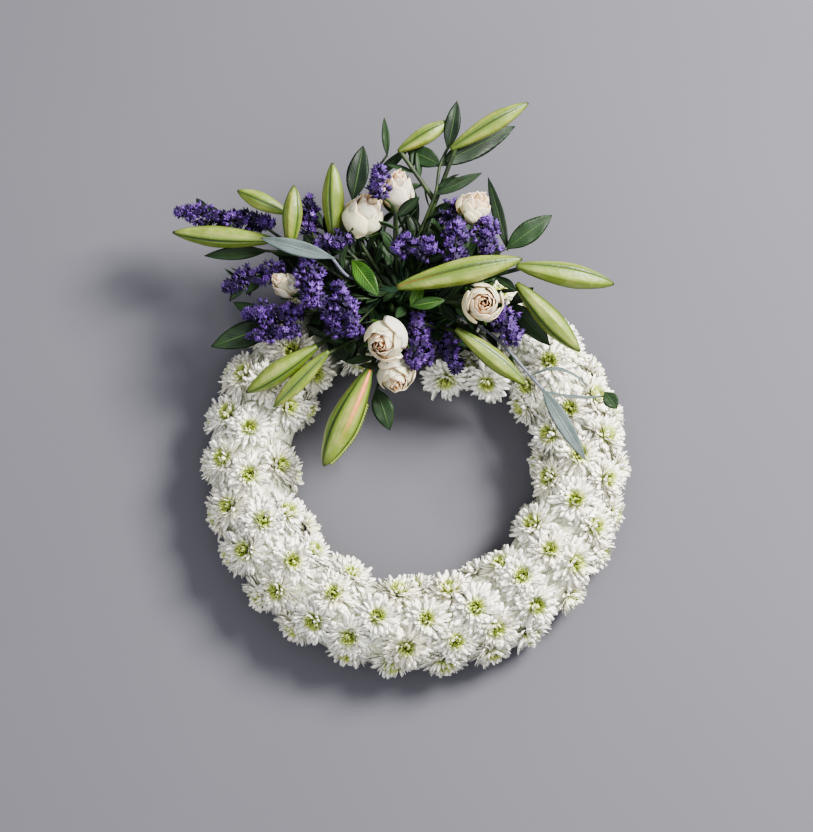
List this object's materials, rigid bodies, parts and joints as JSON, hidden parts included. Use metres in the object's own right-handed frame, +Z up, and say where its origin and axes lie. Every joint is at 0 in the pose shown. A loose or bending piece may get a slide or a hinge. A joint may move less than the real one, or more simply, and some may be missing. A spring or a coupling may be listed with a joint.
{
  "type": "funeral wreath",
  "caption": "Round wreath of massed white chrysanthemums on foam in a plastic tray, with a spray of lily buds, roses, sea lavender and leaves at its top.",
  "frame": {"origin": "on the surface that the tray lies on, under the middle of the wreath's outline with its spray", "axes": "+Z straight up out of the flowers, along the ring's own axis; +Y towards the top of the wreath, where the spray is; +X to the right as one faces the flowers"},
  "size_m": [0.4584, 0.5616, 0.1793],
  "materials": {
    "chrysanthemum_petals": "soft matt petals",
    "lily_buds": "waxy satin",
    "rose_petals": "velvety matt",
    "sea_lavender": "dry papery matt",
    "green_leaves": "waxy satin",
    "silver_leaves": "bloomy matt",
    "tray_plastic": "moulded satin",
    "wet_foam": "open-celled matt"
  },
  "bodies": {
    "root": {"chrysanthemums_01": "chrysanthemum_petals", "chrysanthemums_02": "chrysanthemum_petals", "chrysanthemums_03": "chrysanthemum_petals", "chrysanthemums_04": "chrysanthemum_petals", "chrysanthemums_05": "chrysanthemum_petals", "chrysanthemums_06": "chrysanthemum_petals", "chrysanthemums_07": "chrysanthemum_petals", "chrysanthemums_08": "chrysanthemum_petals", "chrysanthemums_09": "chrysanthemum_petals", "chrysanthemums_10": "chrysanthemum_petals", "chrysanthemums_11": "chrysanthemum_petals", "chrysanthemums_12": "chrysanthemum_petals", "lily_buds_01": "lily_buds", "lily_buds_02": "lily_buds", "lily_buds_03": "lily_buds", "lily_buds_04": "lily_buds", "lily_buds_05": "lily_buds", "lily_buds_06": "lily_buds", "lily_buds_07": "lily_buds", "lily_buds_08": "lily_buds", "lily_buds_09": "lily_buds", "lily_buds_10": "lily_buds", "lily_buds_11": "lily_buds", "lily_buds_12": "lily_buds", "rose_1": "rose_petals", "rose_2": "rose_petals", "rose_3": "rose_petals", "rose_4": "rose_petals", "rose_5": "rose_petals", "rose_6": "rose_petals", "rose_7": "rose_petals", "statice_01": "sea_lavender", "statice_02": "sea_lavender", "statice_03": "sea_lavender", "statice_04": "sea_lavender", "statice_05": "sea_lavender", "statice_06": "sea_lavender", "statice_07": "sea_lavender", "statice_08": "sea_lavender", "statice_09": "sea_lavender", "statice_10": "sea_lavender", "statice_11": "sea_lavender", "statice_12": "sea_lavender", "foliage_01": "green_leaves", "foliage_02": "green_leaves", "foliage_03": "green_leaves", "foliage_04": "green_leaves", "foliage_05": "green_leaves", "foliage_06": "green_leaves", "foliage_07": "green_leaves", "foliage_08": "silver_leaves", "foliage_09": "green_leaves", "foliage_10": "green_leaves", "foliage_11": "green_leaves", "foliage_12": "green_leaves", "foliage_13": "silver_leaves", "tray": "tray_plastic", "foam_ring": "wet_foam", "spray_foam": "wet_foam"}
  },
  "joints": []
}
